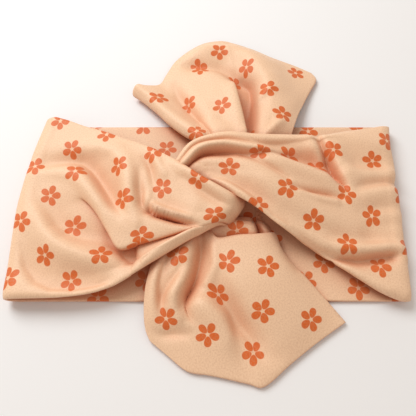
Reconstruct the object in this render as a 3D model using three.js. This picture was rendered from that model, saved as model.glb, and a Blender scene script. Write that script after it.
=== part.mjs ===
// A knotted fabric headband lying flat, front up.
//
// Two sewn tubes of stretch knit cloth meet in a seam at the centre back. Each one runs outwards along the
// back, turns round its side fold, comes back across the front and is tied to the other in a half knot. The
// left tube leaves the knot as the top tail, and the right tube leaves it as the bottom tail.
//
// Millimetres. Seen from above, +X points right and +Y points to the edge nearer the crown; +Z points up from
// the table. The origin is the middle of the back band's underside, straight below the knot.
import * as THREE from "three";

// Driving dimensions.
const BAND_SOUTH = -61; // lower long edge of the band
const BAND_NORTH = 62; // upper long edge of the band
const PLY = 0.9; // one ply of brushed knit cloth, with its nap
const PLY_GAP = 0.6; // air between the two plies of a flattened tube
const TUBE = 2 * PLY + PLY_GAP; // a flattened tube
const LOOP_GAP = 6.6; // clear height between the back band and the front wraps
const FOLD_RADIUS = TUBE + LOOP_GAP / 2; // outer radius of a side fold
const FRONT_TOP = 2 * FOLD_RADIUS; // height of the front cloth beside a side fold
const GAP = 0.4; // clearance between neighbouring pieces
const SEAM_X = 33; // the centre-back seam
const SEAM_WIDTH = 3;
const SEAM_HEIGHT = TUBE + 0.8; // its sewn plies, pressed together
const SEAM_UNDERSIDE = 0.1; // how far they lie above the table
const THREAD_RADIUS = 0.6; // a sewn, turned edge

// The outermost line of each side fold, as [y, x].
const LEFT_FOLD = [[-61, -117], [-30, -118.5], [0, -119], [25, -117.5], [45, -114], [62, -109]];
const RIGHT_FOLD = [[-61, 117], [-22, 120], [5, 122], [25, 123.5], [43, 124], [62, 125]];

// Cloth colours.
const CLOTH = { color: 0xf6cfae, roughness: 0.9, metalness: 0 };
const SHADED_CLOTH = { color: 0xe9b78f, roughness: 0.9, metalness: 0 };
const THREAD = { color: 0xf0c39c, roughness: 0.7, metalness: 0 };

const headband = new THREE.Group();

function add(name, geometry, material) {
  const mesh = new THREE.Mesh(geometry, new THREE.MeshStandardMaterial(material));
  mesh.name = name;
  headband.add(mesh);
}

// The x of a fold line at y, by straight interpolation.
function foldX(line, y) {
  const last = line.length - 1;
  if (y <= line[0][0]) return line[0][1];
  if (y >= line[last][0]) return line[last][1];
  const i = line.findIndex(([at]) => at > y);
  const [y0, x0] = line[i - 1];
  const [y1, x1] = line[i];
  return THREE.MathUtils.mapLinear(y, y0, y1, x0, x1);
}

const leftInner = (y) => foldX(LEFT_FOLD, y) + FOLD_RADIUS + GAP;
const rightInner = (y) => foldX(RIGHT_FOLD, y) - FOLD_RADIUS - GAP;

// Evenly spaced points on a smooth curve through the given [x, y, z] points.
function spaced(points, steps) {
  const path = points.map((p) => new THREE.Vector3(...p));
  return new THREE.CatmullRomCurve3(path, false, "centripetal").getSpacedPoints(steps);
}

// A closed slab of cloth. Its upper face passes through rails, which run from -X to +X and follow each other
// from -Y to +Y. It is thickness deep and thins to edge at its two long edges. It has along by across facets,
// and drop lowers the whole of it.
function slab(rails, { thickness = TUBE, edge = thickness, along = 14, across = 6, drop = 0 } = {}) {
  const sampled = rails.map((rail) => spaced(rail, along));
  const upper = [];
  const lower = [];
  for (let i = 0; i <= along; i++) {
    const section = spaced(sampled.map((rail) => rail[i].toArray()), across);
    section.forEach((p, j) => {
      const share = j / across;
      const fullness = Math.min(1, 6 * share * (1 - share));
      const here = THREE.MathUtils.lerp(edge, thickness, fullness);
      upper.push(p.x, p.y, p.z - drop);
      lower.push(p.x, p.y, p.z - drop - here);
    });
  }
  const row = across + 1;
  const count = (along + 1) * row;
  const index = [];
  const quad = (a, b, c, d) => index.push(a, b, c, a, c, d);
  for (let i = 0; i < along; i++) {
    for (let j = 0; j < across; j++) {
      const a = i * row + j;
      quad(a, a + row, a + row + 1, a + 1);
      quad(count + a, count + a + 1, count + a + row + 1, count + a + row);
    }
    const south = i * row;
    const north = south + across;
    quad(south, count + south, count + south + row, south + row);
    quad(north, north + row, count + north + row, count + north);
  }
  for (let j = 0; j < across; j++) {
    const west = j;
    const east = along * row + j;
    quad(west, west + 1, count + west + 1, count + west);
    quad(east, count + east, count + east + 1, east + 1);
  }
  const geometry = new THREE.BufferGeometry();
  geometry.setAttribute("position", new THREE.Float32BufferAttribute([...upper, ...lower], 3));
  geometry.setIndex(index);
  geometry.computeVertexNormals();
  return geometry;
}

// A round bead along a smooth curve.
function bead(points, radius, steps) {
  const section = new THREE.Shape().absarc(0, 0, radius, 0, 2 * Math.PI);
  const path = new THREE.CatmullRomCurve3(points.map((p) => new THREE.Vector3(...p)), false, "centripetal");
  return new THREE.ExtrudeGeometry(section, { extrudePath: path, steps, curveSegments: 4 });
}

// One ply of the back band, between the lines x = west(y) and x = east(y).
function backPly(west, east, top) {
  const lines = [BAND_SOUTH, -20, 20, 45, BAND_NORTH];
  const rails = lines.map((y) => [[west(y), y, top], [(west(y) + east(y)) / 2, y, top], [east(y), y, top]]);
  return slab(rails, { thickness: PLY, along: 6, across: 8 });
}

// A side fold: the tube turning through half a circle, with side -1 for the left one and 1 for the right one.
function sideFold(side, line) {
  const inner = FOLD_RADIUS - TUBE;
  const start = -Math.PI / 2;
  const end = Math.PI / 2;
  const section = new THREE.Shape().absarc(0, 0, FOLD_RADIUS, start, end, false);
  section.absarc(0, 0, inner, end, start, true);
  const geometry = new THREE.ExtrudeGeometry(section, {
    depth: BAND_NORTH - BAND_SOUTH,
    steps: 8,
    curveSegments: 8,
    bevelEnabled: false,
  });
  geometry.rotateX(Math.PI / 2);
  geometry.translate(0, BAND_NORTH, FOLD_RADIUS);
  if (side < 0) geometry.rotateZ(Math.PI).translate(0, BAND_SOUTH + BAND_NORTH, 0);
  const position = geometry.attributes.position;
  for (let i = 0; i < position.count; i++) {
    const centre = foldX(line, position.getY(i)) - side * FOLD_RADIUS;
    position.setX(i, position.getX(i) + centre);
  }
  return geometry;
}

function addBack() {
  const seamWest = () => SEAM_X - SEAM_WIDTH / 2 - GAP;
  const seamEast = () => SEAM_X + SEAM_WIDTH / 2 + GAP;
  add("back_left_outer_ply", backPly(leftInner, seamWest, PLY), CLOTH);
  add("back_left_inner_ply", backPly(leftInner, seamWest, TUBE), SHADED_CLOTH);
  add("back_right_outer_ply", backPly(seamEast, rightInner, PLY), CLOTH);
  add("back_right_inner_ply", backPly(seamEast, rightInner, TUBE), SHADED_CLOTH);

  const seam = new THREE.BoxGeometry(SEAM_WIDTH, BAND_NORTH - BAND_SOUTH, SEAM_HEIGHT);
  seam.translate(SEAM_X, (BAND_NORTH + BAND_SOUTH) / 2, SEAM_UNDERSIDE + SEAM_HEIGHT / 2);
  add("centre_back_seam", seam, THREAD);

  const seamY = BAND_SOUTH - THREAD_RADIUS - GAP;
  const seamZ = TUBE / 2;
  const leftSeam = [[-108, seamY, seamZ], [-40, seamY, seamZ], [SEAM_X - 2, seamY, seamZ]];
  const rightSeam = [[SEAM_X + 2, seamY, seamZ], [70, seamY, seamZ], [108, seamY, seamZ]];
  add("left_tube_long_seam", bead(leftSeam, THREAD_RADIUS, 8), THREAD);
  add("right_tube_long_seam", bead(rightSeam, THREAD_RADIUS, 8), THREAD);

  add("left_side_fold", sideFold(-1, LEFT_FOLD), CLOTH);
  add("right_side_fold", sideFold(1, RIGHT_FOLD), CLOTH);
}

// The front: each tube crosses from its side fold to the knot, bunched into pleats.
function addWraps() {
  const west = (y, z) => [leftInner(y), y, z];
  const east = (y, z) => [rightInner(y), y, z];

  const upperPleat = [
    [west(8, 11.2), [-95, 9, 12.5], [-77, 4, 15], [-62, -16, 17], [-48, -29, 17.5], [-26, -26, 20],
      [-4, -20, 22], [14, -14, 22]],
    [west(22, FRONT_TOP), [-90, 18, 13], [-70, 8, 17], [-45, -6, 20], [-22, -9, 22], [0, -11, 25],
      [16, -10, 24]],
    [west(40, FRONT_TOP), [-86, 38, 14], [-64, 30, 17], [-42, 18, 21], [-20, 5, 25], [2, -4, 27],
      [17, -7, 25]],
    [west(61, FRONT_TOP), [-83, 56, 13], [-62, 48, 15], [-37, 36, 20], [-14, 18, 26], [6, 3, 28],
      [18, -5, 25]],
  ];
  add("left_wrap_upper_pleat", slab(upperPleat, { thickness: 2.6, edge: 2 }), CLOTH);

  const lowerPleat = [
    [west(-60.5, FRONT_TOP - 0.4), [-77, -59, 11.8], [-56, -55, 12.2], [-39, -45, 13.5], [-22, -33, 15.5],
      [-2, -22, 17.5], [11, -16, 18.5]],
    [west(-35, FRONT_TOP), [-85, -36, 11.6], [-62, -38, 11.6], [-40, -35, 13], [-20, -25, 15], [0, -16, 17],
      [12, -13, 18]],
    [west(7.2, FRONT_TOP), [-96, 7.5, 11.6], [-79, 1, 11.8], [-62, -14, 12], [-44, -24, 12.8],
      [-22, -19, 14.6], [0, -13, 16.4], [12, -10, 17]],
  ];
  add("left_wrap_lower_pleat", slab(lowerPleat, { thickness: 2.4, edge: 1.8 }), CLOTH);

  const rightWrap = [
    [[1, 10, 26], [22, -4, 27], [36, -18, 24.5], [53, -31, 20.5], [76, -44, 15], [93, -53, 12.4],
      east(-60, FRONT_TOP - 0.4)],
    [[-4, 14, 27.5], [24, 6, 30], [46, -8, 26], [66, -18, 20], [90, -24, 14], east(-28, FRONT_TOP)],
    [[-8, 17, 28], [18, 17, 31], [40, 12, 29], [62, 8, 22], [88, 6, 15], east(6, FRONT_TOP)],
    [[-11, 19.5, 27], [3, 25, 29.5], [19, 29, 31], [38, 27.5, 30], [62, 29, 22.5], [87, 33, 16],
      east(36, FRONT_TOP)],
  ];
  add("right_wrap", slab(rightWrap, { thickness: 2.6, edge: 2 }), CLOTH);

  const roll = [
    [[-15, 21.5, 24], [-1, 28, 28], [18, 32, 30], [38, 30.5, 29], [62, 32, 21.5], [87, 36, 15.4],
      east(38.5, FRONT_TOP)],
    [[-20, 25, 23], [-8, 33, 27], [10, 37.5, 29], [34, 38, 27.5], [62, 38, 20], [88, 43, 14.6],
      east(48, FRONT_TOP)],
    [[-22, 27, 21], [-12, 36, 24], [4, 42, 26], [27, 43, 25], [53, 43, 21], [77, 46, 15.5], [94, 53, 12.6],
      east(61, FRONT_TOP)],
  ];
  add("right_wrap_top_roll", slab(roll, { thickness: 2.8, edge: 2, across: 4 }), CLOTH);
}

// Inside the knot each tube turns under the other one, round the bunched core.
function addKnot() {
  const leftTurn = [
    [[16, -4, 20.5], [24, -2, 21], [31, 2, 19.5]],
    [[13, 4, 21.5], [24, 8, 22.5], [34, 12, 20]],
    [[16, 12, 21], [25, 17, 22], [35, 22, 19.5]],
  ];
  add("left_tube_turn", slab(leftTurn, { thickness: 4, edge: 3, along: 6, across: 5 }), CLOTH);

  const rightTurn = [
    [[-30, -6, 14], [-22, -8, 15], [-12, -6, 16]],
    [[-29, 6, 17], [-19, 7, 19], [-8, 6, 20]],
    [[-26, 16, 18], [-17, 16, 20], [-7, 13, 21]],
  ];
  add("right_tube_turn", slab(rightTurn, { thickness: 4, edge: 3, along: 6, across: 5 }), CLOTH);

  const core = [
    [[-4, -8, 12.6], [6, -8, 13.6], [16, -6, 14]],
    [[-5, 4, 16], [7, 4, 18], [20, 4, 15.6]],
    [[-3, 17, 16], [8, 18, 17], [19, 18, 15.6]],
  ];
  add("knot_core", slab(core, { thickness: 3.2, edge: 2.6, along: 6, across: 5 }), SHADED_CLOTH);
}

// A rail moved outwards from a centre [x, y] in plan, and lowered.
function movedOut(rail, [centreX, centreY], distance, drop) {
  return rail.map(([x, y, z]) => {
    const away = new THREE.Vector2(x - centreX, y - centreY).setLength(distance);
    return [x + away.x, y + away.y, z - drop];
  });
}

// The two plies of a tail, and the turned seam round its free end.
function addTail(name, rails, end, centre) {
  const ply = { thickness: PLY, along: 16, across: 9 };
  const seam = movedOut(end, centre, 2 * THREAD_RADIUS + GAP, PLY + GAP / 2);
  add(`${name}_upper_ply`, slab(rails, ply), CLOTH);
  add(`${name}_under_ply`, slab(rails, { ...ply, drop: PLY + GAP }), SHADED_CLOTH);
  add(`${name}_end_seam`, bead(seam, THREAD_RADIUS, 22), THREAD);
}

function addTopTail() {
  const root = [
    [[-10, 24, 16], [10, 23, 17], [32, 24, 16], [44, 26, 14]],
    [[-15, 36, 15], [12, 36, 19], [36, 36, 17], [50, 37, 13]],
    [[-19, 47, 12.5], [0, 48, 15], [20, 49, 16], [42, 49, 15], [56, 49, 12]],
  ];
  add("top_tail_root", slab(root, { thickness: 2.6, edge: 2.2, along: 8, across: 5 }), SHADED_CLOTH);

  const end = [[-35, 104, 3], [-30, 119, 3.2], [-14, 132, 4], [2, 140, 5], [17, 138, 5.5], [40, 126, 5],
    [62, 116, 4], [79, 110, 3]];
  const rails = [
    [[-21, 52, 11.5], [0, 52, 14], [20, 53, 15.5], [42, 53, 14], [58, 54, 10.5]],
    [[-34, 75, 6], [-10, 72, 9], [14, 74, 11], [26, 76, 9], [48, 75, 9], [67, 76, 5]],
    [[-44, 94, 4], [-28, 92, 5.5], [-8, 94, 7], [16, 98, 9.5], [34, 96, 6], [58, 96, 6], [77, 96, 3.6]],
    [[-38, 99, 3.4], [-31, 106, 4], [-10, 112, 6.5], [14, 117, 8], [40, 112, 7], [62, 107, 5],
      [81, 103, 3.2]],
    end,
  ];
  addTail("top_tail", rails, end, [15, 80]);
}

function addBottomTail() {
  const root = [
    [[-31, -46, 9.6], [-14, -40, 10.8], [4, -32.5, 11.6], [22, -28, 11.4], [37, -23.5, 11.2]],
    [[-22, -30, 10.8], [-8, -27, 11.6], [4, -24, 12], [20, -22, 11.8], [35, -20, 11.4]],
  ];
  const rootStyle = { thickness: 1.8, edge: 1.8, along: 8, across: 3 };
  add("bottom_tail_root", slab(root, rootStyle), SHADED_CLOTH);

  const end = [[-31, -84, 2.6], [-11, -99, 2.5], [12, -103, 3], [30, -105.5, 2.6], [38, -103, 2.5],
    [54, -90, 2.6], [78, -74, 3]];
  const rails = [
    end,
    [[-35, -76, 4.6], [-16, -82, 7], [2, -84, 8], [24, -84, 6], [44, -78, 6], [76, -69, 4]],
    [[-36, -63, 8], [-20, -64, 9.5], [-6, -64, 8.5], [16, -64, 10], [38, -64, 8.5], [68, -61, 6.4]],
    [[-35.5, -55, 9.6], [-20, -51, 11.4], [-4, -47, 10.5], [12, -45, 11.4], [34, -45, 10.4], [54, -50, 8]],
    [[-32, -50, 10], [-14, -43.5, 11.2], [4, -36.5, 11.8], [22, -32, 11.6], [38, -27.5, 11]],
  ];
  addTail("bottom_tail", rails, end, [14, -62]);
}

addBack();
addWraps();
addKnot();
addTopTail();
addBottomTail();

export default headband;
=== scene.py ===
"""A knotted headband of printed stretch knit, lying flat with its knot up.

Each half of the band is one closed double-ply tube of cloth: a smooth sheet through a net of points, with
its folds raised and sunk along lines, then thickened. Points are in millimetres in the CAD frame. Many began
as places read off the photo, which a separate program turned into millimetres.
"""

import itertools
import math

import bpy
import numpy as np
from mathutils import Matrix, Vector


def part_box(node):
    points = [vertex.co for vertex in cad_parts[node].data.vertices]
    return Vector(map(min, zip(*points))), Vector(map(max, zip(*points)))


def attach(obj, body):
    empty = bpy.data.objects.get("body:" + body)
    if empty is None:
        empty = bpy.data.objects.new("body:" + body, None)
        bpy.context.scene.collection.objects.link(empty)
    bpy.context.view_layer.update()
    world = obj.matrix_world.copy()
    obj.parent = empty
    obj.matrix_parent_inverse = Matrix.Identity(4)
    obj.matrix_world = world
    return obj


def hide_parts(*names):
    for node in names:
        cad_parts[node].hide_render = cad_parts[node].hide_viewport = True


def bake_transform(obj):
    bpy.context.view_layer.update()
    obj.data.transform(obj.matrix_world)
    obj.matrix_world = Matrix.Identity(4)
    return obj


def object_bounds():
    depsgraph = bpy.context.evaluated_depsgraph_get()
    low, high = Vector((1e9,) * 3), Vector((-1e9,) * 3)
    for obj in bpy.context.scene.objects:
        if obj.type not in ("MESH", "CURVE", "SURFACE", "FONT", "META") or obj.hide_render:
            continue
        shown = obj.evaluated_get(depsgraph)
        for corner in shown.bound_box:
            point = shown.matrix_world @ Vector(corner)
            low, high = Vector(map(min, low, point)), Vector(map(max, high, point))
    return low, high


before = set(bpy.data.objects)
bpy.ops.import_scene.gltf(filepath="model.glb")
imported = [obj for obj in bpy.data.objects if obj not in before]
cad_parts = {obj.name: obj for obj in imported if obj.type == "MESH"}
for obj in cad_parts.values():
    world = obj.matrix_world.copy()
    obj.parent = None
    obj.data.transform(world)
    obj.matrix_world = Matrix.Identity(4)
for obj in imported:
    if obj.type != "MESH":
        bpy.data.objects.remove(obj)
CAD_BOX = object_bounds()

# One millimetre of the headband, from the CAD band, which is 244 mm from side fold to side fold.
BAND_WIDTH = 244
MM = (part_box("right_side_fold")[1].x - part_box("left_side_fold")[0].x) / BAND_WIDTH

STEP = 0.95  # distance between the points of a finished sheet
BACK_STEP = 2.5  # and the distance between them along the flat back band
TUBE = 1.9  # thickness of a flattened tube
ROUND_ANGLES = (0, 30, 60)  # degrees round a sheet's rounded edge, of the rows of points next to it
RIM = 4  # rows of a sheet's points that are taken up by each of its rounded edges
SOUTH = -61  # lower edge of the band
NORTH = 62  # upper edge of the band
BACK_MID = 1.25  # height of the middle of the back band's cloth

FOLD_DEPTH = 1.6  # how many times deeper the folds are than their written rise
FOLD_FADE = 20  # folds end within one part in this many of the sheet's width, past the rails that bound them
LOWEST = 1  # the least height of the middle of any cloth
LOWEST_FRONT = 6.8  # and the height below which no fold sinks the front of the band

# A sheet is laid flat by springs between the points of a coarse copy. It is softened first, because a steep
# fold would make the flat sheet turn over on itself.
LAYOUT_ALONG = 44
LAYOUT_ACROSS = 28
LAYOUT_SOFTENING = 12
SPRING_ROUNDS = 1500
SPRING_PULL = 0.11  # share of a spring's error that each of its ends takes up in one round

# The flower print is a half-drop repeat.
REPEAT_ALONG = 35
REPEAT_ACROSS = 36
REPEATS_ALONG = 12  # enough repeats each way to cover the largest sheet
REPEATS_ACROSS = 6
FLOWERS_APART = 22  # a flower of the repeat this near to one that has its own place isn't printed
FLOWER_RADIUS = 7
FAR_OFF = 10000  # where a sheet without flowers has its only one, so that none is printed

# The seam at the centre back, and the overlock stitches on it.
SEAM_X = 33
SEAM_GAP = 1  # how far the middle of each half's cloth stops short of it
SEAM_PROFILE = [(-2.7, 2.1), (-1.6, 2.8), (0, 3), (1.6, 2.8), (2.7, 2.1)]  # offset across it, and height
STITCH = 2.6  # length of one zigzag stitch
STITCH_REACH = 1.7  # how far it goes to each side
STITCH_LOW = 2.85  # height of the thread at the sides
STITCH_HIGH = 3.12  # and on top of the seam
THREAD = 0.22  # radius of the thread

CAMERA_ELEVATION = 65  # degrees above the table
CAMERA_DISTANCE = 282
LENS = 37.73  # focal length for a sensor 36 mm wide
SENSOR = 36

AMBIENT = 0.55
AMBIENT_TINT = (1, 0.89, 0.80, 1)
KEY_PLACE = (-0.45, 0.5, 0.7)  # metres, up and to the left behind the headband
KEY_TINT = (0.95, 0.98, 1)
KEY_SIZE = 0.6
KEY_POWER = 6.5


# ---------------------------------------------------------------- sheets of cloth


def linked(name, data):
    """Puts a new object with this data into the scene."""
    made = bpy.data.objects.new(name, data)
    bpy.context.scene.collection.objects.link(made)
    return made


def through(points, knots, places):
    """Samples a smooth curve that passes through points at knots."""
    slopes = np.gradient(points, knots, axis=0)
    i = np.clip(np.searchsorted(knots, places, side="right") - 1, 0, len(knots) - 2)
    shape = (-1,) + (1,) * (points.ndim - 1)
    span = (knots[i + 1] - knots[i]).reshape(shape)
    t = ((places - knots[i]) / (knots[i + 1] - knots[i])).reshape(shape)
    return (
        (2 * t**3 - 3 * t**2 + 1) * points[i]
        + (t**3 - 2 * t**2 + t) * span * slopes[i]
        + (3 * t**2 - 2 * t**3) * points[i + 1]
        + (t**3 - t**2) * span * slopes[i + 1]
    )


def mean_distances(rows):
    """How far each row of points is from the first one, along the sheet and on average."""
    gaps = np.linalg.norm(np.diff(rows, axis=0), axis=-1).mean(axis=1)
    return np.concatenate([[0], np.cumsum(gaps)])


def places_between_edges(length, plain=(0, 0)):
    """Places on a line across a sheet: in even steps, wider on its plain part, and close on its edges."""
    radius = TUBE / 2
    turn = radius * (1 - np.cos(np.radians(ROUND_ANGLES)))
    middle = [radius]
    while middle[-1] < length - radius - STEP:
        is_plain = plain[0] < middle[-1] < plain[1]
        middle.append(middle[-1] + (BACK_STEP if is_plain else STEP))
    return np.concatenate([turn, middle, length - turn[::-1]])


def sheet_through(net, back_columns=(0, 0)):
    """A fine grid of points, along by across, on the smooth sheet through a net of rails.

    back_columns are the first and last of the net's columns that lie on the plain back band.
    """
    net = np.array(net, float)
    across = mean_distances(net)
    rails = through(net, across, places_between_edges(across[-1]))
    stations = rails.swapaxes(0, 1)
    along = mean_distances(stations)
    plain = along[back_columns[0]], along[back_columns[1]]
    return through(stations, along, places_between_edges(along[-1], plain))


def stroke(grid, points, left, right, rails=(0, 1), lowest=LOWEST):
    """Raises a sheet along a line of (x, y, height), or sinks it where height is negative.

    left and right are how far the slope reaches on each side of the line. rails are the shares of the sheet's
    width between which the stroke acts, and lowest is the height below which it doesn't sink the sheet.
    """
    line = np.array(points, float)
    place = grid[..., :2]
    nearest = np.full(grid.shape[:2], np.inf)
    lift = np.zeros(grid.shape[:2])
    for a, b in zip(line[:-1], line[1:]):
        run = b[:2] - a[:2]
        t = np.clip(((place - a[:2]) @ run) / (run @ run), 0, 1)
        off = place - (a[:2] + t[..., None] * run)
        distance = np.linalg.norm(off, axis=-1)
        is_left = run[0] * off[..., 1] - run[1] * off[..., 0] > 0
        reach = np.where(is_left, left, right)
        here = FOLD_DEPTH * (a[2] + t * (b[2] - a[2])) * np.exp(-((distance / reach) ** 2))
        closer = distance < nearest
        nearest = np.where(closer, distance, nearest)
        lift = np.where(closer, here, lift)
    share = np.linspace(0, 1, grid.shape[1])
    inside = np.clip(np.minimum(share - rails[0], rails[1] - share) * FOLD_FADE + 1, 0, 1)
    above_back = np.clip((grid[..., 2] - 2 * BACK_MID) / TUBE, 0, 1)
    height = grid[..., 2]
    grid[..., 2] = np.maximum(height + lift * inside * above_back, np.minimum(height, lowest))


def softened(grid, rounds):
    """Rounds off a sheet's creases by averaging neighbours, with its edges held."""
    for _ in range(rounds):
        inner = (grid[:-2, 1:-1] + grid[2:, 1:-1] + grid[1:-1, :-2] + grid[1:-1, 2:]) / 4
        grid[1:-1, 1:-1] += 0.5 * (inner - grid[1:-1, 1:-1])
    return grid


def laid_flat(grid):
    """Where each point of a sheet lies on the flat printed cloth, in millimetres.

    Springs between the points of a coarse copy settle until each has the length that it has on the sheet.
    """
    coarse_i = np.unique(np.linspace(0, grid.shape[0] - 1, LAYOUT_ALONG).round().astype(int))
    coarse_j = np.unique(np.linspace(0, grid.shape[1] - 1, LAYOUT_ACROSS).round().astype(int))
    run_i = np.zeros(grid.shape[:2])
    run_i[1:] = np.cumsum(np.linalg.norm(np.diff(grid, axis=0), axis=-1), axis=0)
    run_j = np.zeros(grid.shape[:2])
    run_j[:, 1:] = np.cumsum(np.linalg.norm(np.diff(grid, axis=1), axis=-1), axis=1)
    length_i = np.diff(run_i[np.ix_(coarse_i, coarse_j)], axis=0)
    length_j = np.diff(run_j[np.ix_(coarse_i, coarse_j)], axis=1)
    nodes = grid[np.ix_(coarse_i, coarse_j)]
    flat = np.zeros(nodes.shape[:2] + (2,))
    flat[1:, :, 0] = np.cumsum(length_i.mean(axis=1))[:, None]
    flat[:, 1:, 1] = np.cumsum(length_j.mean(axis=0))[None, :]

    tangent_i = np.gradient(nodes, axis=0)
    tangent_j = np.gradient(nodes, axis=1)
    size = np.linalg.norm(tangent_i, axis=-1) * np.linalg.norm(tangent_j, axis=-1) + 1e-9
    slant = ((tangent_i * tangent_j).sum(-1) / size)[:-1, :-1]
    side_i, side_j = length_i[:, :-1], length_j[:-1, :]
    squares = side_i**2 + side_j**2
    twist = 2 * slant * side_i * side_j
    every, before, after = slice(None), slice(None, -1), slice(1, None)
    links = [
        ((before, every), (after, every), length_i),
        ((every, before), (every, after), length_j),
        ((before, before), (after, after), np.sqrt(squares + twist)),
        ((after, before), (before, after), np.sqrt(squares - twist)),
    ]
    for _ in range(SPRING_ROUNDS):
        push = np.zeros_like(flat)
        for a, b, length in links:
            gap = flat[b] - flat[a]
            now = np.linalg.norm(gap, axis=-1) + 1e-9
            pull = gap * ((now - length) / now * SPRING_PULL)[..., None]
            push[a] += pull
            push[b] -= pull
        flat += push
    flat = through(flat, coarse_i.astype(float), np.arange(grid.shape[0], dtype=float))
    across = through(flat.swapaxes(0, 1), coarse_j.astype(float), np.arange(grid.shape[1], dtype=float))
    return across.swapaxes(0, 1)


def normals_of(grid):
    """Unit normals of a grid of points."""
    normal = np.cross(np.gradient(grid, axis=0), np.gradient(grid, axis=1))
    return normal / (np.linalg.norm(normal, axis=-1, keepdims=True) + 1e-9)


def placed_flowers(grid, flat, flowers):
    """The centres and petal angles on the flat cloth of flowers given as (x, y, angle) seen from above."""
    rim = min(RIM, min(grid.shape[:2]) // 2 - 1)
    inner = slice(rim, -rim), slice(rim, -rim)
    grid, flat = grid[inner], flat[inner]
    steps = (np.gradient(grid, axis=0)[..., :2], np.gradient(grid, axis=1)[..., :2])
    flat_steps = (np.gradient(flat, axis=0), np.gradient(flat, axis=1))
    centres, angles = [], []
    for x, y, angle in flowers:
        off = np.linalg.norm(grid[..., :2] - (x, y), axis=-1)
        seen = np.where(off < max(STEP, off.min() + 0.1), grid[..., 2], -np.inf)
        at = np.unravel_index(seen.argmax(), seen.shape)
        plan = np.stack([step[at] for step in steps], axis=1)
        cloth = np.stack([step[at] for step in flat_steps], axis=1)
        to_flat = cloth @ np.linalg.pinv(plan)
        petal = to_flat @ (math.cos(math.radians(angle)), math.sin(math.radians(angle)))
        centres.append(flat[at])
        angles.append(math.atan2(petal[1], petal[0]))
    return centres, angles


def all_flowers(grid, flat, flowers, petal_angle, repeat_below):
    """The flowers that have their own places, and the repeat between them where the sheet is low enough."""
    centres, angles = placed_flowers(grid, flat, flowers)
    start = centres[0] if centres else flat[0, 0]
    steps_along = range(-REPEATS_ALONG, REPEATS_ALONG + 1)
    steps_across = range(-REPEATS_ACROSS, REPEATS_ACROSS + 1)
    for i, j, half in itertools.product(steps_along, steps_across, (0, 0.5)):
        centre = start + ((i + half) * REPEAT_ALONG, (j + half) * REPEAT_ACROSS)
        off = np.linalg.norm(flat - centre, axis=-1)
        height = grid[..., 2].reshape(-1)[off.argmin()]
        is_on_sheet = off.min() < FLOWER_RADIUS and height < repeat_below
        if is_on_sheet and all(np.linalg.norm(centre - other) > FLOWERS_APART for other in centres):
            centres.append(centre)
            angles.append(math.radians(petal_angle))
    if not centres:
        return np.full((1, 2), FAR_OFF), np.zeros(1)
    return np.array(centres), np.array(angles)


def print_places(corners, centres, angles):
    """Where faces' corners lie from the centre of the flower nearest to each face, along its first petal."""
    middles = corners.mean(axis=1)
    nearest = np.linalg.norm(middles[:, None] - centres[None], axis=-1).argmin(axis=1)
    off = corners - centres[nearest][:, None]
    cos_turn, sin_turn = np.cos(angles[nearest])[:, None], np.sin(angles[nearest])[:, None]
    return np.stack([off[..., 0] * cos_turn + off[..., 1] * sin_turn,
                     off[..., 1] * cos_turn - off[..., 0] * sin_turn], axis=-1)


def quads(index):
    """The faces between the points of a grid, as rows of the numbers of their four corners."""
    return np.stack([index[:-1, :-1], index[1:, :-1], index[1:, 1:], index[:-1, 1:]], -1).reshape(-1, 4)


def thickened(grid):
    """The points of a closed, thick sheet with rounded edges, and the faces of its upper and lower sides."""
    n, m = grid.shape[:2]
    rounding = np.ones((n, m))
    for k, angle in enumerate(ROUND_ANGLES):
        height = math.sin(math.radians(angle))
        for rim in (rounding[k], rounding[n - 1 - k], rounding[:, k], rounding[:, m - 1 - k]):
            np.minimum(rim, height, out=rim)
    offset = normals_of(grid) * (rounding * TUBE / 2)[..., None]
    upper = (grid + offset).reshape(-1, 3)
    lower = (grid - offset)[1:-1, 1:-1].reshape(-1, 3)
    upper_index = np.arange(n * m).reshape(n, m)
    lower_index = upper_index.copy()
    lower_index[1:-1, 1:-1] = n * m + np.arange((n - 2) * (m - 2)).reshape(n - 2, m - 2)
    return np.concatenate([upper, lower]), quads(upper_index), quads(lower_index)[:, ::-1]


def cloth_tube(name, grid, material, outside=(), inside=(), petal_angle=72, repeat_below=math.inf):
    """A closed, thick sheet with rounded edges, printed with flowers on both of its sides.

    outside and inside are the flowers of its two sides that have their own places. Outside, the repeat fills
    in between them only where the sheet is lower than repeat_below.

    It has two UV maps in millimetres: weave is the place on the flat cloth, and print is the place from the
    nearest flower's centre.
    """
    points, upper_faces, lower_faces = thickened(grid)
    flat = laid_flat(softened(grid.copy(), LAYOUT_SOFTENING))
    corners = flat.reshape(-1, 2)[upper_faces]
    outer = print_places(corners, *all_flowers(grid, flat, outside, petal_angle, repeat_below))
    inner = print_places(corners[:, ::-1], *all_flowers(grid, flat, inside, petal_angle, math.inf))
    maps = {"weave": np.concatenate([corners, corners[:, ::-1]]), "print": np.concatenate([outer, inner])}

    faces = np.concatenate([upper_faces, lower_faces])
    mesh = bpy.data.meshes.new(name)
    mesh.from_pydata((points * MM).tolist(), [], faces.tolist())
    for map_name, places in maps.items():
        layer = mesh.uv_layers.new(name=map_name)
        layer.data.foreach_set("uv", places.reshape(-1).astype(np.float32))
    mesh.polygons.foreach_set("use_smooth", np.ones(len(faces), bool))
    mesh.materials.append(material)
    mesh.update()
    return linked(name, mesh)


# ---------------------------------------------------------------- materials


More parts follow.
